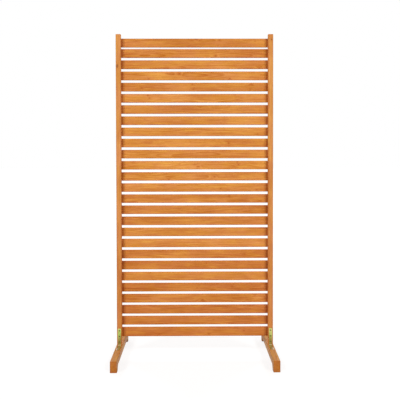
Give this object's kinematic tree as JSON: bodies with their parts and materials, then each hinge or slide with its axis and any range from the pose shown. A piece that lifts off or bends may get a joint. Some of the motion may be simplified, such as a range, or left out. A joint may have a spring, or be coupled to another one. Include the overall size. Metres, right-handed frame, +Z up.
{
  "type": "garden privacy screen",
  "caption": "Free-standing slatted timber privacy screen: horizontal slats behind upright posts, each post on a relieved beam foot with a front angle bracket.",
  "frame": {"origin": "on the ground, midway between the feet and midway along them", "axes": "+X along the panel, +Y from the bracket side (front) to the slat side (back), +Z up"},
  "size_m": [0.884, 0.6, 1.8],
  "materials": {
    "slat_timber": "honey-orange satin stain on planed softwood, grain along the slat",
    "post_timber": "honey-orange satin stain on planed softwood, grain upright",
    "foot_timber": "honey-orange satin stain on planed softwood, grain along the foot",
    "bracket_steel": "yellow-passivated zinc plating, semi-gloss",
    "bracket_screws": "yellow-passivated zinc plating",
    "foot_screws": "yellow-passivated zinc plating",
    "staples": "bright galvanised wire"
  },
  "bodies": {
    "root": {"left_post": "post_timber", "left_foot": "foot_timber", "left_bracket": "bracket_steel", "left_bracket_post_screws": "bracket_screws", "left_bracket_foot_screws": "bracket_screws", "left_foot_screw": "foot_screws", "left_slat_staples": "staples", "right_post": "post_timber", "right_foot": "foot_timber", "right_bracket": "bracket_steel", "right_bracket_post_screws": "bracket_screws", "right_bracket_foot_screws": "bracket_screws", "right_foot_screw": "foot_screws", "right_slat_staples": "staples", "slat_01": "slat_timber", "slat_02": "slat_timber", "slat_03": "slat_timber", "slat_04": "slat_timber", "slat_05": "slat_timber", "slat_06": "slat_timber", "slat_07": "slat_timber", "slat_08": "slat_timber", "slat_09": "slat_timber", "slat_10": "slat_timber", "slat_11": "slat_timber", "slat_12": "slat_timber", "slat_13": "slat_timber", "slat_14": "slat_timber", "slat_15": "slat_timber", "slat_16": "slat_timber", "slat_17": "slat_timber", "slat_18": "slat_timber", "slat_19": "slat_timber", "slat_20": "slat_timber", "slat_21": "slat_timber", "slat_22": "slat_timber", "slat_23": "slat_timber", "slat_24": "slat_timber", "slat_25": "slat_timber", "slat_26": "slat_timber", "slat_27": "slat_timber"}
  },
  "joints": []
}
